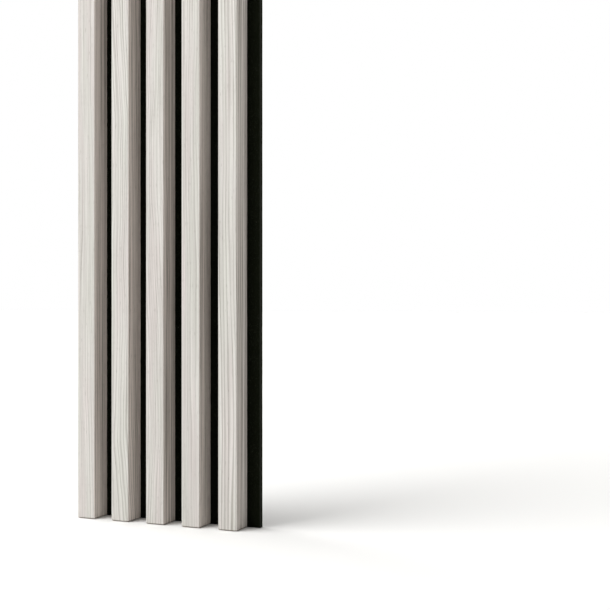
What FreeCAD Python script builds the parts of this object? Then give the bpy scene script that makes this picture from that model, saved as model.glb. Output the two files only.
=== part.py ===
"""Acoustic slat wall panel: upright veneered slats stapled to a sheet of black felt.

Frame, in millimetres: +Z runs up the slats, +X across them, and the slat fronts face -Y.
The origin is at the foot of the back face, halfway across the panel, where wall and floor meet.
"""
import FreeCAD, Part
import os
import Sketcher

DRIVING_SIZES = {
    # The whole panel
    "panel_height": 2400,
    "slat_count": 5,
    "slat_pitch": 40,
    "right_margin": 14.4,
    # One slat, over its veneer
    "slat_width": 20,
    "slat_depth": 23.4,
    "slat_corner_radius": 1,
    "veneer_thickness": 0.6,
    # Felt sheet
    "felt_thickness": 5,
    "felt_edge_radius": 0.5,
    # Narrow-crown staples driven through the felt from behind
    "staple_rows": 10,
    "staple_end_margin": 50,
    "staple_crown_width": 10,
    "staple_leg_length": 14,
    "staple_wire_thickness": 0.9,
    "staple_wire_width": 1.2,
    "staple_bend_radius": 1.2,
    "staple_sink": 0.3,
}


class Size:
    """A size that knows its spreadsheet expression and its value, and keeps both through sums."""

    def __init__(self, text, value):
        self.text = text
        self.value = value

    def combined(self, sign, other, result):
        return Size(f"({self.text} {sign} {as_size(other).text})", result)

    def __add__(self, other):
        return self.combined("+", other, self.value + as_size(other).value)

    def __sub__(self, other):
        return self.combined("-", other, self.value - as_size(other).value)

    def __mul__(self, other):
        return self.combined("*", other, self.value * as_size(other).value)

    def __truediv__(self, other):
        return self.combined("/", other, self.value / as_size(other).value)

    def __neg__(self):
        return Size(f"(-1 * {self.text})", -self.value)


def as_size(number):
    """Plain numbers join in the sums of sizes as they are."""
    return number if isinstance(number, Size) else Size(repr(number), number)


def bind(item, prop, size):
    """Tie one property of a document object to the spreadsheet."""
    item.setExpression(prop, size.text)


doc = FreeCAD.newDocument("acoustic_slat_panel")
sheet = doc.addObject("Spreadsheet::Sheet", "sizes")
for row, (alias, number) in enumerate(DRIVING_SIZES.items(), start=1):
    sheet.set(f"A{row}", alias)
    sheet.set(f"B{row}", str(number))
    sheet.setAlias(f"B{row}", alias)
doc.recompute()
dim = {alias: Size(f"sizes.{alias}", sheet.get(alias)) for alias in DRIVING_SIZES}

# Each sketch measures from the plane of its piece's back and from the line halfway across the piece
back = Size("0", 0)
halfway = Size("0", 0)

# Across the panel
panel_width = dim["slat_count"] * dim["slat_pitch"]
half_panel = panel_width / 2
half_slat = dim["slat_width"] / 2
last_slat_x = half_panel - dim["right_margin"] - half_slat
first_slat_x = last_slat_x - (dim["slat_count"] - 1) * dim["slat_pitch"]

# Inside the veneer
half_core = half_slat - dim["veneer_thickness"]
core_depth = dim["slat_depth"] - dim["veneer_thickness"]
core_corner_radius = dim["slat_corner_radius"] - dim["veneer_thickness"]

# Staples
half_crown = dim["staple_crown_width"] / 2
leg_inner_x = half_crown - dim["staple_wire_thickness"]
half_wire = dim["staple_wire_width"] / 2
crown_bed_depth = dim["staple_sink"] + dim["staple_wire_thickness"]
leg_reach_in_core = dim["staple_sink"] + dim["staple_leg_length"] - dim["felt_thickness"]
lowest_row_foot = dim["staple_end_margin"] - half_wire
lowest_row_top = dim["staple_end_margin"] + half_wire
staple_rows_span = dim["panel_height"] - dim["staple_end_margin"] * 2


def new_body(label):
    """An empty body whose label names the sub-part."""
    body = doc.addObject("PartDesign::Body", label)
    body.Label = label
    body.AllowCompound = True
    return body


def place_body(body, x=None, y=None, z=None):
    """Move a body to its seat in the panel's frame."""
    for axis, size in (("x", x), ("y", y), ("z", z)):
        if size is not None:
            bind(body, f"Placement.Base.{axis}", size)


def origin_feature(body, role):
    """One of the body's own origin planes or axes."""
    return next(item for item in body.Origin.OriginFeatures if item.Role == role)


def new_sketch(body, name, plane):
    """An empty sketch on one of the body's own origin planes."""
    sketch = body.newObject("Sketcher::SketchObject", f"{body.Name}_{name}")
    sketch.AttachmentSupport = [(origin_feature(body, plane), "")]
    sketch.MapMode = "FlatFace"
    return sketch


def add_outline(sketch, sides, radii=None):
    """Draw a closed outline of upright and level sides, each held at its own distance from the origin.

    sides lists, in order round the outline, ("x", size) for an upright side and ("y", size) for a level one.
    radii gives the radius of the corner after the side of that number, and a corner with none stays sharp.
    """
    radii = radii or {}
    count = len(sides)
    trims = [radii[index].value if index in radii else 0 for index in range(count)]
    corners = []
    for index, (axis, size) in enumerate(sides):
        after = sides[(index + 1) % count][1].value
        corners.append(FreeCAD.Vector(size.value, after) if axis == "x" else FreeCAD.Vector(after, size.value))
    lines = []
    for index, (axis, size) in enumerate(sides):
        along = (corners[index] - corners[index - 1]).normalize()
        start = corners[index - 1] + along * trims[index - 1]
        end = corners[index] - along * trims[index]
        line = sketch.addGeometry(Part.LineSegment(start, end))
        lines.append(line)
        direction, distance = ("Vertical", "DistanceX") if axis == "x" else ("Horizontal", "DistanceY")
        sketch.addConstraint(Sketcher.Constraint(direction, line))
        held = sketch.addConstraint(Sketcher.Constraint(distance, -1, 1, line, 1, size.value))
        bind(sketch, f"Constraints[{held}]", size)
    for index, corner in enumerate(corners):
        before, after = lines[index], lines[(index + 1) % count]
        if index in radii:
            add_corner_arc(sketch, before, after, corner, radii[index])
        else:
            sketch.addConstraint(Sketcher.Constraint("Coincident", before, 2, after, 1))


def add_corner_arc(sketch, before, after, corner, radius):
    """Round one corner of an outline with an arc that runs smoothly into both sides.

    An arc is always drawn anticlockwise, so its two ends change places where the outline turns right.
    """
    start = sketch.Geometry[before].EndPoint
    end = sketch.Geometry[after].StartPoint
    centre = start + end - corner
    crest = centre + (corner - centre).normalize() * radius.value
    turns_left = (corner - start).cross(end - corner).z > 0
    first, last = (start, end) if turns_left else (end, start)
    arc = sketch.addGeometry(Part.Arc(first, crest, last))
    sketch.addConstraint(Sketcher.Constraint("Tangent", before, 2, arc, 1 if turns_left else 2))
    sketch.addConstraint(Sketcher.Constraint("Tangent", after, 1, arc, 2 if turns_left else 1))
    held = sketch.addConstraint(Sketcher.Constraint("Radius", arc, radius.value))
    bind(sketch, f"Constraints[{held}]", radius)


def add_rectangle(sketch, left, right, bottom, top):
    """Draw one upright rectangle."""
    add_outline(sketch, [("x", left), ("y", top), ("x", right), ("y", bottom)])


def pad_up(body, sketch, name, length):
    """Extrude a plan outline upwards, as a sawn or extruded length is made."""
    pad = body.newObject("PartDesign::Pad", f"{body.Name}_{name}")
    pad.Profile = sketch
    bind(pad, "Length", length)
    sketch.Visibility = False
    doc.recompute()
    return pad


def cut_from_back(body, sketch, name, depth):
    """Sink an outline drawn on the back plane forwards into the body, towards -Y."""
    before = body.Shape.Volume
    pocket = body.newObject("PartDesign::Pocket", f"{body.Name}_{name}")
    pocket.Profile = sketch
    pocket.Reversed = True
    bind(pocket, "Length", depth)
    sketch.Visibility = False
    doc.recompute()
    if not pocket.Shape.Volume < before:
        raise RuntimeError(f"{pocket.Name} takes nothing away")
    return pocket


def cut_leg_holes(body, centre, depth):
    """Cut the two holes of the lowest row's staple legs, one on each side of an upright centre line."""
    legs = new_sketch(body, "leg_outline", "XZ_Plane")
    add_rectangle(legs, centre - half_crown, centre - leg_inner_x, lowest_row_foot, lowest_row_top)
    add_rectangle(legs, centre + leg_inner_x, centre + half_crown, lowest_row_foot, lowest_row_top)
    return cut_from_back(body, legs, "leg_holes", depth)


def repeat_over_staples(body, features, across):
    """Repeat features at every row up the panel and, if across is set, behind every slat."""
    pattern = body.newObject("PartDesign::LinearPattern", f"{body.Name}_staple_places")
    pattern.Originals = features
    pattern.Direction = (origin_feature(body, "Z_Axis"), [""])
    bind(pattern, "Length", staple_rows_span)
    bind(pattern, "Occurrences", dim["staple_rows"])
    if across:
        pattern.Direction2 = (origin_feature(body, "X_Axis"), [""])
        bind(pattern, "Length2", last_slat_x - first_slat_x)
        bind(pattern, "Occurrences2", dim["slat_count"])
    body.Tip = pattern
    doc.recompute()


def make_felt_backing():
    """The felt sheet: its long edges are slightly rounded, and each staple lies in a bed pressed into its back."""
    body = new_body("felt_backing")
    plan = new_sketch(body, "plan", "XY_Plane")
    sides = [("x", -half_panel), ("y", -dim["felt_thickness"]), ("x", half_panel), ("y", back)]
    add_outline(plan, sides, {corner: dim["felt_edge_radius"] for corner in range(len(sides))})
    pad_up(body, plan, "sheet", dim["panel_height"])

    crown = new_sketch(body, "crown_outline", "XZ_Plane")
    crown_left, crown_right = first_slat_x - half_crown, first_slat_x + half_crown
    add_rectangle(crown, crown_left, crown_right, lowest_row_foot, lowest_row_top)
    bed = cut_from_back(body, crown, "crown_bed", crown_bed_depth)
    holes = cut_leg_holes(body, first_slat_x, dim["felt_thickness"])
    repeat_over_staples(body, [bed, holes], across=True)
    return body


def seat_slat_piece(body, slat):
    """Stand a piece of slat number slat, counted from the left, on the front of the felt."""
    place_body(body, x=first_slat_x + dim["slat_pitch"] * (slat - 1), y=-dim["felt_thickness"])


def make_slat_core(slat):
    """The strip of fibreboard inside one slat, with the blind holes that the staple legs make in its back."""
    body = new_body(f"slat_core_{slat}")
    plan = new_sketch(body, "plan", "XY_Plane")
    sides = [("x", -half_core), ("y", -core_depth), ("x", half_core), ("y", back)]
    add_outline(plan, sides, {0: core_corner_radius, 1: core_corner_radius})
    pad_up(body, plan, "strip", dim["panel_height"])

    holes = cut_leg_holes(body, halfway, leg_reach_in_core)
    repeat_over_staples(body, [holes], across=False)
    seat_slat_piece(body, slat)
    return body


def make_slat_veneer(slat):
    """The veneer of one slat: one sheet, folded over the front and both sides and ending flush with the back."""
    body = new_body(f"slat_veneer_{slat}")
    plan = new_sketch(body, "plan", "XY_Plane")
    sides = [
        ("x", -half_slat),
        ("y", -dim["slat_depth"]),
        ("x", half_slat),
        ("y", back),
        ("x", half_core),
        ("y", -core_depth),
        ("x", -half_core),
        ("y", back),
    ]
    outer, inner = dim["slat_corner_radius"], core_corner_radius
    add_outline(plan, sides, {0: outer, 1: outer, 4: inner, 5: inner})
    pad_up(body, plan, "wrap", dim["panel_height"])
    seat_slat_piece(body, slat)
    return body


def make_backing_staples():
    """All staples: wire bent to a crown and two legs, one across the back of each slat at every row."""
    body = new_body("backing_staples")
    plan = new_sketch(body, "plan", "XY_Plane")
    sides = [
        ("x", -half_crown),
        ("y", -dim["staple_leg_length"]),
        ("x", -leg_inner_x),
        ("y", -dim["staple_wire_thickness"]),
        ("x", leg_inner_x),
        ("y", -dim["staple_leg_length"]),
        ("x", half_crown),
        ("y", back),
    ]
    add_outline(plan, sides, {6: dim["staple_bend_radius"], 7: dim["staple_bend_radius"]})
    wire = pad_up(body, plan, "wire", dim["staple_wire_width"])
    repeat_over_staples(body, [wire], across=True)
    place_body(body, x=first_slat_x, y=-dim["staple_sink"], z=lowest_row_foot)
    return body


slat_numbers = range(1, int(dim["slat_count"].value) + 1)
sub_parts = [make_felt_backing()]
sub_parts += [make_slat_core(slat) for slat in slat_numbers]
sub_parts += [make_slat_veneer(slat) for slat in slat_numbers]
sub_parts.append(make_backing_staples())
doc.recompute()

for item in doc.Objects:
    if "Invalid" in item.State or "Error" in item.State:
        raise RuntimeError(f"{item.Label} failed to build: {item.State}")
for body in sub_parts:
    if body.Shape.isNull() or not body.Shape.isValid():
        raise RuntimeError(f"{body.Label} has no valid shape")

os.makedirs("parts", exist_ok=True)
for body in sub_parts:
    body.Shape.exportStep(f"parts/{body.Label}.step")
    print(f"{body.Label}: {len(body.Shape.Solids)} solid(s), {body.Shape.Volume:.1f} mm3")
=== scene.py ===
"""Finishes an acoustic slat wall panel: wrapped wood veneers, needled felt, fibreboard ends and staples.

Everything is in metres in the panel's own frame: +Z runs up the slats, +X across them, and the fronts face
-Y. Inside the materials lengths are in millimetres, so that across * 5.0 gives a noise five blobs to a
millimetre.
"""
import math

import bpy
import numpy as np
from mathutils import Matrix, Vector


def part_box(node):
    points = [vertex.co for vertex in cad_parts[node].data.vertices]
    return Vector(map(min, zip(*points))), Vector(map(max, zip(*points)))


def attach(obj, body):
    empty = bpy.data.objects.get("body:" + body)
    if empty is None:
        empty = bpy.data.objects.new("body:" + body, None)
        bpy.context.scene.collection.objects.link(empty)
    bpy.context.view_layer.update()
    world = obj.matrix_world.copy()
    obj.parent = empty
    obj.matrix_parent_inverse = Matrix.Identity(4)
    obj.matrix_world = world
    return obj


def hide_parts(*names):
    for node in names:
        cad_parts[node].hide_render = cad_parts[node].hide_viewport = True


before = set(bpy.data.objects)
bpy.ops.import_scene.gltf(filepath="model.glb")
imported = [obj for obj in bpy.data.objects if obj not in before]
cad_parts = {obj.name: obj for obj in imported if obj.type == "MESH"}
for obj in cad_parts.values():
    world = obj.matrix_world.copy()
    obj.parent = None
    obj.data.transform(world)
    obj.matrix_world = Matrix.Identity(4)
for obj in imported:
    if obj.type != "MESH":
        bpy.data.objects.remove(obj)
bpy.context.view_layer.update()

bl_info = {
    "name": "Acoustic slat wall panel",
    "version": (1, 0, 0),
    "blender": (4, 5, 0),
    "location": "3D View > Sidebar > Slat panel",
    "description": "Finishes an acoustic slat wall panel and sets its studio",
    "category": "Object",
}

MM = 0.001
FULL_TURN = 2 * math.pi

# Read from the frame
SLAT_COUNT = sum(name.startswith("slat_core_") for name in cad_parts)
SLATS = range(1, SLAT_COUNT + 1)
FELT_LOW, FELT_HIGH = (np.array(corner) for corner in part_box("felt_backing"))
STAPLES_LOW, STAPLES_HIGH = (np.array(corner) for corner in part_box("backing_staples"))
PANEL_HEIGHT = FELT_HIGH[2]
CORE_CENTRES = np.array([np.mean([corner[0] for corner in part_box(f"slat_core_{slat}")]) for slat in SLATS])

# How each slat's sheet was cut from the log, in millimetres: where the heart lies sideways and in depth, the
# spacing of the growth rings, how far they sway, and how fast they climb for each millimetre of height. Then
# how strongly the late wood, the fine lines and the streaks show, how dark the wood is, its tint from
# greenish to pinkish, how far the right side takes the side tint, which is painted warm fill light, and how
# much painted shade darkens both sides.
CUTS = (
    {"heart": -95, "level": 60, "ring": 2.6, "sway": 6.0, "climb": 0.004,
     "late": 0.34, "fine": 0.8, "streak": 0.5, "shade": 0.15, "tint": 0.55, "side": 0.75, "side_painted_shade": 0.05},
    {"heart": -42, "level": 22, "ring": 3.0, "sway": 13.0, "climb": 0.014,
     "late": 0.66, "fine": 0.8, "streak": 0.4, "shade": 0.11, "tint": 0.40, "side": 0.80, "side_painted_shade": 0.0},
    {"heart": 120, "level": 70, "ring": 2.2, "sway": 7.0, "climb": -0.006,
     "late": 0.38, "fine": 0.9, "streak": 0.9, "shade": 0.18, "tint": 0.68, "side": 0.65, "side_painted_shade": 0.11},
    {"heart": -110, "level": 50, "ring": 2.5, "sway": 6.0, "climb": 0.005,
     "late": 0.46, "fine": 0.8, "streak": 0.5, "shade": 0.18, "tint": 0.45, "side": 0.70, "side_painted_shade": 0.01},
    {"heart": 66, "level": 40, "ring": 3.2, "sway": 3.0, "climb": -0.006,
     "late": 0.76, "fine": 0.8, "streak": 0.4, "shade": 0.12, "tint": 0.42, "side": 0.40, "side_painted_shade": 0.15},
)

# How strongly the marks show that all slats share. Two of them are painted light: the sawn mark darkens both
# ends as painted contact shade, and the sanded mark lightens the front corners as a painted highlight.
MARKS = {"fibres": 0.35, "pores": 0.30, "flecks": 0.25, "sawn": 0.7, "sanded": 0.10}

# How far apart the slats' seeds lie, and the seeds of the felt's slow waves
SEED_STEP = 37.0
FELT_SEEDS = {"front": 4, "back": 3, "edges": 9}

# Colours of the felt fibres' faint shine, the sawn board, the staples' wire and the background
FIBRE_SHINE = (0.75, 1.0, 0.5, 1)
BOARD_DARK, BOARD_PALE = (0.27, 0.175, 0.095, 1), (0.52, 0.39, 0.25, 1)
WIRE_DULL, WIRE_BRIGHT = (0.50, 0.50, 0.51, 1), (0.68, 0.68, 0.67, 1)
WHITE = (1, 1, 1, 1)


class Socket:
    """One output of a node tree. Arithmetic with numbers or other sockets adds Math nodes."""

    def __init__(self, shading, output):
        self.shading = shading
        self.output = output

    def __add__(self, other):
        return self.shading.math("ADD", self, other)

    def __radd__(self, other):
        return self.shading.math("ADD", other, self)

    def __sub__(self, other):
        return self.shading.math("SUBTRACT", self, other)

    def __rsub__(self, other):
        return self.shading.math("SUBTRACT", other, self)

    def __mul__(self, other):
        return self.shading.math("MULTIPLY", self, other)

    def __rmul__(self, other):
        return self.shading.math("MULTIPLY", other, self)

    def __truediv__(self, other):
        return self.shading.math("DIVIDE", self, other)

    def __rtruediv__(self, other):
        return self.shading.math("DIVIDE", other, self)

    def __pow__(self, other):
        return self.shading.math("POWER", self, other)

    def __rpow__(self, other):
        return self.shading.math("POWER", other, self)


def pick(sockets, name):
    """The socket in use that has a name, or a place in the row."""
    in_use = [socket for socket in sockets if socket.enabled]
    return in_use[name] if isinstance(name, int) else next(socket for socket in in_use if socket.name == name)


def set_stops(ramp, stops):
    """Give a colour ramp its stops, each a place and a grey value."""
    while len(ramp.elements) > 1:
        ramp.elements.remove(ramp.elements[-1])
    for index, (place, grey) in enumerate(stops):
        element = ramp.elements[0] if index == 0 else ramp.elements.new(place)
        element.position = place
        element.color = (grey, grey, grey, 1)


class Shading:
    """The node tree of a material or a world, filled from code."""

    def __init__(self, owner):
        owner.use_nodes = True
        self.owner = owner
        self.tree = owner.node_tree
        self.tree.nodes.clear()

    def add(self, kind, settings=None, inputs=None, output=0):
        """Add a node of one kind: its settings first, then its sockets' values or links. Gives one output."""
        node = self.tree.nodes.new(kind)
        for name, value in (settings or {}).items():
            if name == "stops":
                set_stops(node.color_ramp, value)
            else:
                setattr(node, name, value)
        for name, value in (inputs or {}).items():
            socket = pick(node.inputs, name)
            if isinstance(value, Socket):
                self.tree.links.new(value.output, socket)
            else:
                socket.default_value = value
        return Socket(self, pick(node.outputs, output)) if node.outputs else None

    def math(self, operation, *values):
        return self.add("ShaderNodeMath", {"operation": operation}, dict(enumerate(values)))

    def vector(self, x, y, z):
        return self.add("ShaderNodeCombineXYZ", inputs={"X": x, "Y": y, "Z": z})

    def parts(self, vector):
        """The three numbers of a vector, in millimetres for one in metres."""
        split = self.add("ShaderNodeSeparateXYZ", inputs={"Vector": vector})
        return [Socket(self, output) / MM for output in split.output.node.outputs]

    def ramp(self, value, stops):
        """A grey value read off a ramp."""
        return self.add("ShaderNodeValToRGB", {"stops": stops}, {"Fac": value})

    def noise(self, x, y, z, detail=2.0, roughness=0.5):
        """Smooth noise about 0.5, one blob to each unit of x, y and z."""
        sizes = {"Vector": self.vector(x, y, z), "Scale": 1.0, "Detail": detail, "Roughness": roughness}
        return self.add("ShaderNodeTexNoise", {"noise_dimensions": "3D"}, sizes)

    def mix(self, factor, first, second):
        """A colour between two colours."""
        inputs = {"Factor": factor, "A": first, "B": second}
        return self.add("ShaderNodeMix", {"data_type": "RGBA"}, inputs)

    def bump(self, height, distance):
        return self.add("ShaderNodeBump", inputs={"Height": height, "Distance": distance})

    def finish(self, **sockets):
        """Close a material's tree with one surface shader, its sockets named with underscores for spaces."""
        inputs = {name.replace("_", " "): value for name, value in sockets.items()}
        surface = self.add("ShaderNodeBsdfPrincipled", inputs=inputs)
        self.add("ShaderNodeOutputMaterial", inputs={"Surface": surface})
        return self.owner


def new_material(name):
    return Shading(bpy.data.materials.new(name))


def new_piece(name, points, faces, material, body="root"):
    """A finished mesh object at the origin that rides on a body."""
    mesh = bpy.data.meshes.new(name)
    mesh.from_pydata(points.tolist(), [], faces.tolist())
    mesh.validate()
    mesh.shade_smooth()
    mesh.materials.append(material)
    piece = bpy.data.objects.new(name, mesh)
    bpy.context.scene.collection.objects.link(piece)
    if body:
        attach(piece, body)
    return piece


def set_material(node, material):
    """Put one material in every slot of a carried-over solid."""
    for slot in node.material_slots:
        slot.material = material


def write_attribute(piece, name, vectors):
    """Store one vector for each point of a piece."""
    layer = piece.data.attributes.new(name, "FLOAT_VECTOR", "POINT")
    layer.data.foreach_set("vector", np.asarray(vectors, np.float32).ravel())


def sharpen_beyond(piece, degrees):
    """Keep edges crisp where the surface turns by more than an angle."""
    piece.data.set_sharp_from_angle(angle=math.radians(degrees))


def closed_shell(outer, inner):
    """Join two skins of rows by stations into one closed shell.

    Point (i, j) of each skin is its row i and station j. Between the skins, walls close the two long edges
    and the two ends: each wall takes the skins' border points in pairs. Gives the points and the faces.
    """
    rows, stations = outer.shape[:2]
    points = np.concatenate([outer.reshape(-1, 3), inner.reshape(-1, 3)])
    index = np.arange(rows * stations).reshape(rows, stations)
    skin = np.stack([index[:-1, :-1], index[:-1, 1:], index[1:, 1:], index[1:, :-1]], axis=-1).reshape(-1, 4)
    back = skin[:, ::-1] + rows * stations
    walls = []
    for border, turned in ((index[0], True), (index[-1], False), (index[:, 0], False), (index[:, -1], True)):
        other = border + rows * stations
        wall = np.stack([border[:-1], border[1:], other[1:], other[:-1]], axis=-1)
        walls.append(wall[:, ::-1] if turned else wall)
    return points, np.concatenate([skin, back, *walls])


def flat_stations(x, y, normal):
    """Stations along a flat: an anchor at each place, and one unit normal, repeated."""
    anchors = np.stack(np.broadcast_arrays(x, y), axis=-1)
    return anchors, np.repeat([normal], len(anchors), axis=0)


def corner_stations(centre, first_angle, last_angle, steps):
    """Stations round one corner: the arc's centre, repeated, and unit normals fanned between two angles."""
    angles = np.radians(np.linspace(first_angle, last_angle, steps + 1))
    normals = np.stack([np.cos(angles), np.sin(angles)], axis=-1)
    return np.repeat([centre], steps + 1, axis=0), normals


class VeneerSizes(bpy.types.PropertyGroup):
    """What a user may change on the veneers."""

    corner_radius: bpy.props.FloatProperty(
        name="Corner radius",
        description="Radius of the slats' front edges, over the veneer",
        default=1 * MM,
        unit="LENGTH",
    )
    end_easing: bpy.props.FloatProperty(
        name="End easing",
        description="How far the sawn ends are sanded round",
        default=0.5 * MM,
        unit="LENGTH",
    )
    pale: bpy.props.FloatVectorProperty(
        name="Pale wood",
        description="Colour of the bleached wood between the growth rings",
        subtype="COLOR",
        size=4,
        default=(0.678, 0.659, 0.627, 1),
        min=0,
        max=1,
    )
    line: bpy.props.FloatVectorProperty(
        name="Grain line",
        description="Colour of the darkest wood in the growth rings",
        subtype="COLOR",
        size=4,
        default=(0.257, 0.231, 0.202, 1),
        min=0,
        max=1,
    )
    pink: bpy.props.FloatVectorProperty(
        name="Pink tint",
        description="Colour of the pinkish streaks",
        subtype="COLOR",
        size=4,
        default=(0.675, 0.634, 0.611, 1),
        min=0,
        max=1,
    )
    green: bpy.props.FloatVectorProperty(
        name="Green tint",
        description="Colour of the greenish grey streaks",
        subtype="COLOR",
        size=4,
        default=(0.651, 0.646, 0.602, 1),
        min=0,
        max=1,
    )
    # Painted light: the side tint is warmer and lighter than the front's wood, standing in for the warm fill
    # light on the slats' sides.
    side: bpy.props.FloatVectorProperty(
        name="Side tint",
        description="Colour of the slats' sides, where the bleach lies thinner",
        subtype="COLOR",
        size=4,
        default=(0.816, 0.734, 0.676, 1),
        min=0,
        max=1,
    )
    roughness: bpy.props.FloatProperty(
        name="Roughness",
        description="Roughness of the matt lacquer",
        default=0.62,
        min=0,
        max=1,
        subtype="FACTOR",
    )


class FeltSizes(bpy.types.PropertyGroup):
    """What a user may change on the felt."""

    colour: bpy.props.FloatVectorProperty(
        name="Felt",
        description="Colour of the black fibres",
        subtype="COLOR",
        size=4,
        default=(0.0008, 0.0009, 0.0006, 1),
        min=0,
        max=1,
    )
    lit_fibre: bpy.props.FloatVectorProperty(
        name="Lit fibre",
        description="Colour of the fibres that stand up into the light",
        subtype="COLOR",
        size=4,
        default=(0.0132, 0.0150, 0.0085, 1),
        min=0,
        max=1,
    )
    stray_fibre: bpy.props.FloatVectorProperty(
        name="Stray fibre",
        description="Colour of the few paler fibres",
        subtype="COLOR",
        size=4,
        default=(0.045, 0.045, 0.042, 1),
        min=0,
        max=1,
    )
    edge_radius: bpy.props.FloatProperty(
        name="Edge radius",
        description="Rounding of the felt's long edges",
        default=0.5 * MM,
        unit="LENGTH",
    )
    dimple: bpy.props.FloatProperty(
        name="Staple dimple",
        description="How deep a staple pulls the felt in",
        default=0.75 * MM,
        unit="LENGTH",
    )


class StudioSizes(bpy.types.PropertyGroup):
    """What a user may change in the studio."""

    floor_colour: bpy.props.FloatVectorProperty(
        name="Floor",
        description="Colour of the plain floor",
        subtype="COLOR",
        size=4,
        default=(0.95, 0.95, 0.94, 1),
        min=0,
        max=1,
    )
    camera_place: bpy.props.FloatVectorProperty(
        name="Camera",
        description="Where the camera stands",
        subtype="TRANSLATION",
        unit="LENGTH",
        default=(0.5514, -0.9793, 0.2164),
    )
    camera_turn: bpy.props.FloatProperty(
        name="Camera turn",
        description="How far the camera is turned to the left of straight ahead",
        default=0.3936,
        unit="ROTATION",
    )
    camera_lens: bpy.props.FloatProperty(
        name="Lens",
        description="Focal length on a 36 mm wide sensor",
        default=65.19,
        unit="CAMERA",
    )
    key_strength: bpy.props.FloatProperty(
        name="Key light",
        description="Strength of the large soft light at the front left",
        default=2.50,
        min=0,
    )
    side_strength: bpy.props.FloatProperty(
        name="Side light",
        description="Strength of the softer light from the left, which throws the shadows beside the feet",
        default=1.0,
        min=0,
    )
    upper_power: bpy.props.FloatProperty(
        name="Upper light",
        description="Power of the soft light in front, which fades out towards the foot",
        default=62,
        min=0,
        unit="POWER",
    )
    fill_colour: bpy.props.FloatVectorProperty(
        name="Fill colour",
        description="Colour of the even light all round, a little warmer than the key",
        subtype="COLOR",
        size=4,
        default=(1.0, 0.985, 0.965, 1),
        min=0,
        max=1,
    )
    fill_strength: bpy.props.FloatProperty(
        name="Fill light",
        description="Strength of the even light all round",
        default=0.46,
        min=0,
    )


def growth_rings(shading, across, along, cut, seed):
    """The number of growth rings at each point of a sheet, and how dark the late wood is there.

    A growth ring is a cone round the log's heart, and the sheet cuts it at some height over the heart. The
    ring number at a point is therefore its distance from the heart, plus a climb along the sheet and a slow
    sway, divided by the ring spacing, and shifted a little so that good and lean years alternate. Each ring
    darkens towards its outer side and stops there.
    """
    slow = shading.noise(across * 0.012, along * 0.0042, seed, detail=0.0)
    quick = shading.noise(across * 0.05, along * 0.018, seed + 5, detail=1.0)
    sway = (slow - 0.5) * (2 * cut["sway"]) + (quick - 0.5) * (0.3 * cut["sway"])
    sideways = across - cut["heart"]
    from_heart = (sideways * sideways + cut["level"] ** 2) ** 0.5
    depth = (from_heart + along * cut["climb"] + sway) / cut["ring"]
    rings = depth + (shading.noise(depth * 0.7, along * 0.002, seed + 3, detail=1.0) - 0.5) * 1.5

    year = shading.math("FLOOR", rings) + seed
    year_tone = shading.add("ShaderNodeTexWhiteNoise", {"noise_dimensions": "1D"}, {"W": year})
    ring_shade = [(0.0, 0.2), (0.12, 0.0), (0.48, 0.08), (0.70, 0.45), (0.85, 1.0), (0.93, 0.85), (1.0, 0.2)]
    fading = shading.noise(rings * 0.5, along * 0.010, seed + 7, detail=1.0)
    late = shading.ramp(shading.math("FRACT", rings), ring_shade) * (year_tone * 0.45 + 0.55)
    return rings, late * shading.ramp(fading, [(0.30, 0.6), (0.60, 1.0)])


def sheet_zones(shading, across, along, half_width, radius):
    """Where a sheet lies on its slat's sides, where a painted highlight runs along its corners, and where
    painted shade darkens its sawn ends.
    """
    corner = (half_width - radius + FULL_TURN / 8 * radius) / MM
    past_corner = shading.math("ABSOLUTE", across) - corner
    on_side = shading.ramp(past_corner + 0.5, [(0.0, 0.0), (0.9, 1.0)])
    # Painted highlight: a lighter line along the middle of both front corners.
    sanded = shading.ramp(shading.math("ABSOLUTE", past_corner + 0.3), [(0.4, 1.0), (1.0, 0.0)])
    # Painted shade: a dark line within about a millimetre of both ends, standing in for the contact shadow
    # under the foot.
    half_height = PANEL_HEIGHT / MM / 2
    from_end = half_height - shading.math("ABSOLUTE", along - half_height)
    return on_side, sanded, shading.ramp(from_end, [(0.3, 1.0), (1.1, 0.0)])


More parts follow.
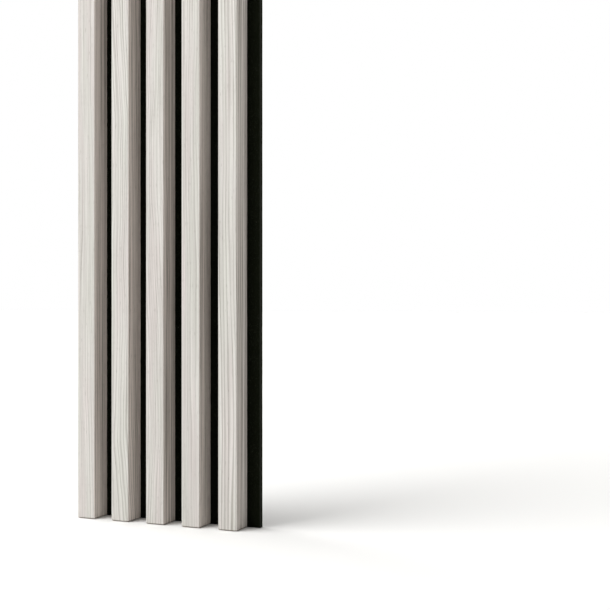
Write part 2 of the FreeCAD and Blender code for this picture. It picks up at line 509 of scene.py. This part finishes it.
def veneer_material(slat, half_width, sizes):
    """Bleached veneer of one slat, drawn in the flat sheet's own coordinates: its grain turns the corners.

    The tone runs from the bleached ground, 0, to the grain's line colour, 1. It is a weighted sum of the late
    wood, fine lines that follow the rings, and streaks, bands, fibres, pores and flecks that run along the
    sheet, with painted light on top: painted shade on the sides and at the ends, and a painted highlight
    along the corners. The ground is pale, with greenish and pinkish streaks, and takes the side tint on the
    sides, which is painted warm fill light.
    """
    cut = CUTS[(slat - 1) % len(CUTS)]
    seed = SEED_STEP * slat
    shading = new_material(f"veneer_{slat}")
    sheet = shading.add("ShaderNodeAttribute", {"attribute_name": "sheet"}, output="Vector")
    across, along, _ = shading.parts(sheet)
    on_side, sanded, sawn = sheet_zones(shading, across, along, half_width, sizes.corner_radius)
    rings, late = growth_rings(shading, across, along, cut, seed)

    # The third number of a noise is its seed: each pattern has its own, so that no two line up
    fine_lines = shading.noise(rings * 2.6, along * 0.005, seed + 9, detail=2.0)
    streaks = shading.noise(across * 1.1, along * 0.014, seed + 13, detail=3.0, roughness=0.6)
    bands = shading.noise(across * 0.36, along * 0.003, seed + 17, detail=1.0)
    fibres = shading.noise(across * 5.0, along * 0.05, seed + 19, detail=2.0)
    pore_field = shading.noise(across * 3.6, along * 0.16, seed + 21, detail=1.0)
    pore_zone = shading.noise(across * 0.25, along * 0.02, seed + 25, detail=1.0)
    fleck_field = shading.noise(across * 0.9, along * 0.13, seed + 33, detail=0.0)
    pores = shading.ramp(pore_field, [(0.62, 0.0), (0.72, 1.0)])
    pores = pores * shading.ramp(pore_zone, [(0.45, 0.1), (0.6, 1.0)])
    flecks = shading.ramp(fleck_field, [(0.74, 0.0), (0.82, 1.0)])

    # The broad bands show more strongly on the sides: grain, with painted shading on top that stands in for
    # raking light over the sides.
    band_share = on_side * 1.8 + 0.4
    # The tone also holds painted light: painted shade on the sides, a dark line at both ends as painted
    # contact shade, and a light line along the corners as a painted highlight.
    tone = late * cut["late"] + (fine_lines - 0.5) * cut["fine"] + (streaks - 0.5) * cut["streak"]
    tone = tone + (bands - 0.5) * band_share + (fibres - 0.5) * MARKS["fibres"]
    tone = tone + cut["shade"] + on_side * cut["side_painted_shade"] + pores * MARKS["pores"]
    tone = tone + flecks * MARKS["flecks"] + sawn * MARKS["sawn"] - sanded * MARKS["sanded"]
    tone = shading.ramp(tone, [(0.0, 0.0), (1.0, 1.0)])

    tint = (shading.noise(across * 0.09, along * 0.006, seed + 29) - 0.5) * 1.6 + (0.3 + cut["tint"] * 0.4)
    greenish = shading.ramp(tint, [(0.25, 1.0), (0.50, 0.0)])
    pinkish = shading.ramp(tint, [(0.50, 0.0), (0.75, 1.0)])
    # Painted light: the sides take the side tint, warmer and lighter, in place of the warm fill light on
    # them; the left side takes less of it than the right.
    from_left = across * 0.02 + 0.5
    painted_side_light_share = shading.ramp(from_left, [(0.3, 0.4), (0.7, 1.0)]) * cut["side"]
    ground = shading.mix(greenish, tuple(sizes.pale), tuple(sizes.green))
    ground = shading.mix(pinkish, ground, tuple(sizes.pink))
    ground = shading.mix(on_side * painted_side_light_share, ground, tuple(sizes.side))
    return shading.finish(
        Base_Color=shading.mix(tone, ground, tuple(sizes.line)),
        Roughness=tone * 0.10 + (sizes.roughness - 0.03),
        Normal=shading.bump(streaks * 0.35 + fibres * 0.3 - late * 0.35 - pores, 0.05 * MM),
        Specular_IOR_Level=0.35,
    )


def felt_material(sizes):
    """Black needled felt: fibres that lie both ways over an uneven pile, with a few paler stray ones on top.

    Round and between the slats the felt is painted darker, as shade, and it grows paler towards the cut
    edges.
    The pile stands looser, and so paler, on the back. The cut edge faces are painted darker, as shade, and
    paler fibres along the corners of the long edges are a painted highlight.
    """
    shading = new_material("black_felt")
    across, deep, up = shading.parts(shading.add("ShaderNodeTexCoord", output="Object"))
    wander = shading.noise(across * 0.35, deep * 0.35, up * 0.35) * 6
    lying = shading.noise(across * 1.2 + wander, deep * 1.2, up * 5.0, detail=3.0, roughness=0.6)
    standing = shading.noise(across * 5.0, deep * 1.2, up * 1.2 + wander, detail=3.0, roughness=0.6)
    fibres = shading.ramp(shading.math("MAXIMUM", lying, standing), [(0.42, 0.0), (0.58, 0.3), (0.74, 1.0)])
    pile = shading.noise(across * 0.11, deep * 0.11, up * 0.11)
    hairs = shading.noise(across * 0.9 + wander * 0.5, deep * 3.0, up * 3.2 - wander * 0.5, detail=0.0)
    stray = shading.ramp(hairs, [(0.70, 0.0), (0.76, 1.0)])
    last_slat, cut_edge = CORE_CENTRES[-1] / MM, FELT_HIGH[0] / MM
    # Painted shade: the felt is darker round and between the slats and grows paler towards the cut edges; the
    # back, where the pile stands looser, is paler too.
    towards_edge = (shading.math("ABSOLUTE", across) - last_slat) / (cut_edge - last_slat)
    back_pile_and_slat_shade = shading.ramp(towards_edge, [(0.40, 0.12), (0.75, 0.62), (0.92, 1.0)])
    from_front, from_back = deep - FELT_LOW[1] / MM, FELT_HIGH[1] / MM - deep
    back_pile_and_slat_shade = shading.math("MAXIMUM", back_pile_and_slat_shade, shading.ramp(from_back, [(0.0, 0.75), (1.0, 0.0)]))
    from_edge = cut_edge - shading.math("ABSOLUTE", across)
    from_face = shading.math("MINIMUM", from_front, from_back)
    # Painted light at the cut edges: the edge faces are painted darker as shade, and paler fibres along the
    # corners of the long edges are a painted highlight, carried on with the stray fibres.
    painted_edge_face_shade = shading.ramp(from_edge, [(0.15, 0.35), (0.5, 1.0)])
    painted_corner_highlight = shading.ramp(shading.math("MAXIMUM", from_edge, from_face), [(0.5, 1.0), (1.5, 0.0)])
    stray = shading.math("MAXIMUM", stray, painted_corner_highlight * (fibres * 0.5 + 0.35))
    lit = (fibres * 0.75 + pile * 0.25) * back_pile_and_slat_shade * painted_edge_face_shade
    ground = shading.mix(lit, tuple(sizes.colour), tuple(sizes.lit_fibre))
    return shading.finish(
        Base_Color=shading.mix(stray, ground, tuple(sizes.stray_fibre)),
        Roughness=0.95 - fibres * 0.1,
        Normal=shading.bump(fibres + pile * 2 + stray, 0.2 * MM),
        Specular_IOR_Level=0.06,
        Specular_Tint=FIBRE_SHINE,
        Sheen_Weight=0.05,
        Sheen_Roughness=0.3,
        Sheen_Tint=FIBRE_SHINE,
    )


def fibreboard_material():
    """Sawn fibreboard: fine brown fibre specks, paler and darker in clumps."""
    shading = new_material("fibreboard")
    across, deep, up = shading.parts(shading.add("ShaderNodeTexCoord", output="Object"))
    specks = shading.noise(across * 3.5, deep * 5.0, up * 3.5, detail=4.0, roughness=0.7)
    clumps = shading.noise(across * 0.5, deep * 0.9, up * 0.5)
    tone = shading.ramp(specks * 0.7 + clumps * 0.3, [(0.30, 0.0), (0.72, 1.0)])
    return shading.finish(
        Base_Color=shading.mix(tone, BOARD_DARK, BOARD_PALE),
        Roughness=0.92 - tone * 0.08,
        Normal=shading.bump(specks, 0.12 * MM),
        Specular_IOR_Level=0.25,
    )


def staple_material():
    """Zinc-plated wire: bright and slightly drawn along its length."""
    shading = new_material("staple_wire")
    across, deep, up = shading.parts(shading.add("ShaderNodeTexCoord", output="Object"))
    drawn = shading.noise(across * 0.6, deep * 6.0, up * 14.0)
    cloud = shading.noise(across * 0.4, deep * 0.4, up * 0.4)
    return shading.finish(
        Base_Color=shading.mix(cloud, WIRE_DULL, WIRE_BRIGHT),
        Metallic=1.0,
        Roughness=drawn * 0.25 + 0.24,
        Normal=shading.bump(drawn, 0.02 * MM),
    )


def veneer_skins(half_width, front, back, radius, thickness, easing):
    """Outer and inner skin of one veneer, wrapped over the front and both sides of a slat.

    Stations run from the back of the left side, forward along it, round a corner, over the front, round the
    other corner and back along the right side. Each is an anchor and a unit normal: the outer skin lies one
    corner radius along the normal, and the inner skin lies less by the veneer's thickness. At both ends the
    outer skin draws in round a quarter circle: at the angle a it lies e (1 - cos a) from the end and
    e (1 - sin a) inwards, for the easing e. Gives both skins and their points on the flat sheet.
    """
    corner_steps, side_steps, front_steps, easing_steps = 10, 6, 8, 4
    inset, middle = half_width - radius, front + radius
    side = np.linspace(back, middle, side_steps + 1)[:-1]
    face = np.linspace(-inset, inset, front_steps + 1)[1:-1]
    runs = (
        flat_stations(-inset, side, (-1.0, 0.0)),
        corner_stations((-inset, middle), 180, 270, corner_steps),
        flat_stations(face, middle, (0.0, -1.0)),
        corner_stations((inset, middle), 270, 360, corner_steps),
        flat_stations(inset, side[::-1], (1.0, 0.0)),
    )
    anchors = np.concatenate([run[0] for run in runs])
    normals = np.concatenate([run[1] for run in runs])

    angles = np.linspace(0, FULL_TURN / 4, easing_steps + 1)
    low = easing * (1 - np.cos(angles))
    heights = np.concatenate([low, PANEL_HEIGHT - low[::-1]])
    drawn_in = easing * (1 - np.sin(angles))
    drawn_in = np.concatenate([drawn_in, drawn_in[::-1]])

    plan_outer = anchors[None] + normals[None] * (radius - drawn_in[:, None, None])
    plan_inner = np.repeat((anchors + normals * (radius - thickness))[None], len(heights), axis=0)
    tall = np.repeat(heights[:, None, None], len(anchors), axis=1)
    outer = np.concatenate([plan_outer, tall], axis=-1)
    inner = np.concatenate([plan_inner, tall], axis=-1)

    steps = np.linalg.norm(np.diff(anchors + normals * radius, axis=0), axis=1)
    unrolled = np.concatenate([[0.0], np.cumsum(steps)])
    unrolled -= unrolled[-1] / 2
    flat = np.stack(np.broadcast_arrays(unrolled[None], heights[:, None], 0.0), axis=-1)
    return outer, inner, flat


def wrap_veneer(slat, sizes):
    """The veneer of one slat, in place of its plain solid."""
    node = f"slat_veneer_{slat}"
    low, high = (np.array(corner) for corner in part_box(node))
    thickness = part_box(f"slat_core_{slat}")[0][1] - low[1]
    half_width = 0.5 * (high[0] - low[0])
    radius, easing = sizes.corner_radius, sizes.end_easing
    outer, inner, flat = veneer_skins(half_width, low[1], high[1], radius, thickness, easing)
    middle = np.array([0.5 * (low[0] + high[0]), 0.0, 0.0])
    points, faces = closed_shell(outer + middle, inner + middle)
    piece = new_piece(f"wrapped_veneer_{slat}", points, faces, veneer_material(slat, half_width, sizes))
    write_attribute(piece, "sheet", np.concatenate([flat.reshape(-1, 3), flat.reshape(-1, 3)]))
    sharpen_beyond(piece, degrees=40)
    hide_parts(node)
    return piece


def staple_rows():
    """Heights of the staple rows: the middles of the runs of points that lie close together in height."""
    row_gap = 5 * MM
    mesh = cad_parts["backing_staples"].data
    points = np.empty(3 * len(mesh.vertices), np.float32)
    mesh.vertices.foreach_get("co", points)
    heights = np.sort(points[2::3])
    row_starts = np.flatnonzero(np.diff(heights) > row_gap) + 1
    return np.array([0.5 * (row[0] + row[-1]) for row in np.split(heights, row_starts)])


def staple_dimples(across, up, rows, depth):
    """How far the felt's back is pulled in at each point of a grid.

    Every staple's crown is a bar, and the felt sinks by depth exp(-(d / reach)^2) at a distance d from it.
    """
    reach, half_bar = 1.3 * MM, 0.6 * MM
    half_crown = 0.5 * (STAPLES_HIGH[0] - STAPLES_LOW[0] - (CORE_CENTRES[-1] - CORE_CENTRES[0]))
    sideways = np.abs(across[:, None] - CORE_CENTRES).min(axis=1)
    upright = np.abs(up[:, None] - rows).min(axis=1)
    distance = np.hypot(np.maximum(sideways - half_crown, 0), np.maximum(upright - half_bar, 0)[:, None])
    return depth * np.exp(-((distance / reach) ** 2))


def lines_round(low, high, centres, near, step):
    """Places of grid lines from low to high: at set distances on both sides of each centre, wider between."""
    nearest = 0.3 * step
    close = np.add.outer(centres, np.concatenate([-near, near])).ravel()
    wide = np.linspace(low, high, int((high - low) / step) + 1)
    clear = np.abs(wide[:, None] - close).min(axis=1) > nearest
    clear[[0, -1]] = True
    return np.sort(np.concatenate([close, wide[clear]]))


def swell(across, up, seed):
    """Slow unevenness of pressed felt: crossed waves of several lengths, added and made positive."""
    lengths, wave_height = (0.031, 0.052, 0.083, 0.140, 0.230), 0.022
    waves = np.random.default_rng(seed)
    total = np.zeros((len(up), len(across)))
    for length in lengths:
        angle, phase = waves.uniform(0, FULL_TURN, 2)
        run = np.cos(angle) * across + np.sin(angle) * up[:, None]
        total += np.sin(FULL_TURN * run / length + phase)
    return np.abs(total) * wave_height * MM


def felt_skin(across, up, middle, facing, radius):
    """One skin of the felt: a flat face and the quarter rounds that turn from it to the two long edges.

    Stations run from left to right, each an anchor on the line of the corner centres and a unit normal, and
    the skin lies one edge radius along the normal. The long edges swell slowly along their height. Gives the
    rows of points and which stations lie on the flat.
    """
    edge_steps, turn = 4, math.copysign(90, facing)
    runs = (
        corner_stations((across[0], middle), 180, 180 - turn, edge_steps),
        flat_stations(across[1:-1], middle, (0.0, facing)),
        corner_stations((across[-1], middle), turn, 0, edge_steps),
    )
    anchors = np.concatenate([run[0] for run in runs])
    normals = np.concatenate([run[1] for run in runs])
    rows = np.repeat((anchors + normals * radius)[None], len(up), axis=0)
    faces_sideways, faces_straight = np.abs(normals[:, 0]) > 0.7, np.abs(normals[:, 1]) > 0.99
    rows[..., 0] -= swell(np.zeros(1), up, FELT_SEEDS["edges"]) * np.sign(normals[:, 0]) * faces_sideways
    points = np.concatenate([rows, np.repeat(up[:, None, None], len(anchors), axis=1)], axis=-1)
    return points, faces_straight


def make_felt(sizes):
    """The felt sheet: two skins on one grid, rounded along the long edges and dimpled at each staple."""
    radius, rows = sizes.edge_radius, staple_rows()
    near_crown = np.array([1.5, 3.6, 4.6, 5.2, 5.9, 6.8, 8.0]) * MM
    near_row = np.array([0.35, 0.75, 1.2, 1.7, 2.4, 3.4]) * MM
    step_across, step_up = 9 * MM, 26 * MM
    left, right = FELT_LOW[0] + radius, FELT_HIGH[0] - radius
    across = lines_round(left, right, CORE_CENTRES, near_crown, step_across)
    up = lines_round(FELT_LOW[2], FELT_HIGH[2], rows, near_row, step_up)
    front, front_flat = felt_skin(across, up, FELT_LOW[1] + radius, -1.0, radius)
    back, back_flat = felt_skin(across, up, FELT_HIGH[1] - radius, 1.0, radius)
    front[..., 1] += swell(front[0, :, 0], up, FELT_SEEDS["front"]) * front_flat
    dimples = staple_dimples(back[0, :, 0], up, rows, sizes.dimple)
    back[..., 1] -= (swell(back[0, :, 0], up, FELT_SEEDS["back"]) + dimples) * back_flat
    points, faces = closed_shell(front, back)
    piece = new_piece("felt_sheet", points, faces, felt_material(sizes))
    sharpen_beyond(piece, degrees=60)
    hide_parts("felt_backing")
    return piece


class SLATPANEL_OT_wrap_veneers(bpy.types.Operator):
    """Wrap every slat in its own sheet of bleached veneer"""

    bl_idname = "slatpanel.wrap_veneers"
    bl_label = "Wrap veneers"

    def execute(self, context):
        for slat in SLATS:
            wrap_veneer(slat, context.scene.slat_veneer)
        return {"FINISHED"}


class SLATPANEL_OT_make_felt(bpy.types.Operator):
    """Make the black felt sheet behind the slats"""

    bl_idname = "slatpanel.make_felt"
    bl_label = "Make felt"

    def execute(self, context):
        make_felt(context.scene.slat_felt)
        return {"FINISHED"}


class SLATPANEL_OT_finish_cores(bpy.types.Operator):
    """Give the slat cores their sawn fibreboard"""

    bl_idname = "slatpanel.finish_cores"
    bl_label = "Finish cores"

    def execute(self, context):
        material = fibreboard_material()
        for slat in SLATS:
            set_material(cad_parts[f"slat_core_{slat}"], material)
        return {"FINISHED"}


class SLATPANEL_OT_finish_staples(bpy.types.Operator):
    """Give the staples their plated wire"""

    bl_idname = "slatpanel.finish_staples"
    bl_label = "Finish staples"

    def execute(self, context):
        set_material(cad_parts["backing_staples"], staple_material())
        return {"FINISHED"}


class SLATPANEL_OT_set_studio(bpy.types.Operator):
    """Set the floor, the lights and the camera"""

    bl_idname = "slatpanel.set_studio"
    bl_label = "Set studio"

    def execute(self, context):
        sizes = context.scene.slat_studio
        make_floor(sizes)
        make_lights(sizes)
        make_camera(sizes)
        return {"FINISHED"}


def make_floor(sizes):
    """A wide plain floor, a little below the panel's foot."""
    half, low = 30.0, -0.6 * MM
    points = np.array([(-half, -half, low), (half, -half, low), (half, half, low), (-half, half, low)])
    material = new_material("studio_floor").finish(
        Base_Color=tuple(sizes.floor_colour),
        Roughness=0.9,
        Specular_IOR_Level=0.1,
    )
    floor = new_piece("studio_floor", points, np.array([[0, 1, 2, 3]]), material, body=None)


def make_lights(sizes):
    """Even light all round, seen as a white background, and three soft lights.

    The key stands at the front left and the side light at the left. The upper light stands in front, at about
    two thirds of the panel's height, and fades out towards the foot.
    """
    scene = bpy.context.scene
    shading = Shading(bpy.data.worlds.new("studio"))
    scene.world = shading.owner
    seen = shading.add("ShaderNodeLightPath", output="Is Camera Ray")
    colour = shading.mix(seen, tuple(sizes.fill_colour), WHITE)
    strength = seen * (1 - sizes.fill_strength) + sizes.fill_strength
    background = shading.add("ShaderNodeBackground", inputs={"Color": colour, "Strength": strength})
    shading.add("ShaderNodeOutputWorld", inputs={"Surface": background})

    add_sun("key", sizes.key_strength, spread=50, tilt=48, turn=-50)
    add_sun("side", sizes.side_strength, spread=30, tilt=55, turn=-105)
    add_spot("upper", sizes.upper_power, height=0.65 * PANEL_HEIGHT, distance=3.0, sideways=-0.5)
    scene.view_settings.view_transform = "Standard"


def add_sun(name, strength, spread, tilt, turn):
    """A far soft light: its spread, its tilt from overhead and its turn from the front, in degrees.

    A negative turn brings it to the left.
    """
    light = bpy.data.lights.new(name, "SUN")
    light.energy = strength
    light.angle = math.radians(spread)
    lamp = bpy.data.objects.new(name, light)
    lamp.rotation_euler = (math.radians(tilt), 0, math.radians(turn))
    bpy.context.scene.collection.objects.link(lamp)


def add_spot(name, power, height, distance, sideways):
    """A level soft spot in front of the panel, whose cone reaches a little past the foot and fades there."""
    reach = 1.06 * height
    light = bpy.data.lights.new(name, "SPOT")
    light.energy = power
    light.spot_size = 2 * math.atan(reach / distance)
    light.spot_blend = 0.7
    light.shadow_soft_size = 0.4
    lamp = bpy.data.objects.new(name, light)
    lamp.location = (sideways, -distance, height)
    lamp.rotation_euler = (math.radians(90), 0, math.atan2(sideways, distance))
    bpy.context.scene.collection.objects.link(lamp)


def make_camera(sizes):
    """A level camera to the right of the panel, turned left towards it."""
    camera = bpy.data.cameras.new("camera")
    camera.sensor_width = 36
    camera.lens = sizes.camera_lens
    camera.clip_start = 0.01
    holder = bpy.data.objects.new("camera", camera)
    holder.location = tuple(sizes.camera_place)
    holder.rotation_euler = (math.radians(90), 0, sizes.camera_turn)
    bpy.context.scene.collection.objects.link(holder)
    bpy.context.scene.camera = holder


OPERATORS = (
    SLATPANEL_OT_set_studio,
    SLATPANEL_OT_wrap_veneers,
    SLATPANEL_OT_make_felt,
    SLATPANEL_OT_finish_cores,
    SLATPANEL_OT_finish_staples,
)


class SLATPANEL_PT_sidebar(bpy.types.Panel):
    """Lists the steps that finish the panel"""

    bl_idname = "SLATPANEL_PT_sidebar"
    bl_label = "Acoustic slat panel"
    bl_space_type = "VIEW_3D"
    bl_region_type = "UI"
    bl_category = "Slat panel"

    def draw(self, context):
        for operator in OPERATORS:
            self.layout.operator(operator.bl_idname)
        for group in SETTINGS:
            for name in SETTINGS[group].__annotations__:
                self.layout.prop(getattr(context.scene, group), name)


SETTINGS = {"slat_veneer": VeneerSizes, "slat_felt": FeltSizes, "slat_studio": StudioSizes}


def register():
    """Register the settings, the operators and the sidebar."""
    for group, kind in SETTINGS.items():
        bpy.utils.register_class(kind)
        setattr(bpy.types.Scene, group, bpy.props.PointerProperty(type=kind))
    for kind in (*OPERATORS, SLATPANEL_PT_sidebar):
        bpy.utils.register_class(kind)


def unregister():
    """Take back what register did, in the opposite order."""
    for kind in (SLATPANEL_PT_sidebar, *reversed(OPERATORS)):
        bpy.utils.unregister_class(kind)
    for group, kind in reversed(SETTINGS.items()):
        delattr(bpy.types.Scene, group)
        bpy.utils.unregister_class(kind)


def main():
    """Build everything in order."""
    register()
    bpy.ops.slatpanel.set_studio()
    bpy.ops.slatpanel.wrap_veneers()
    bpy.ops.slatpanel.make_felt()
    bpy.ops.slatpanel.finish_cores()
    bpy.ops.slatpanel.finish_staples()


if __name__ == "__main__":
    main()
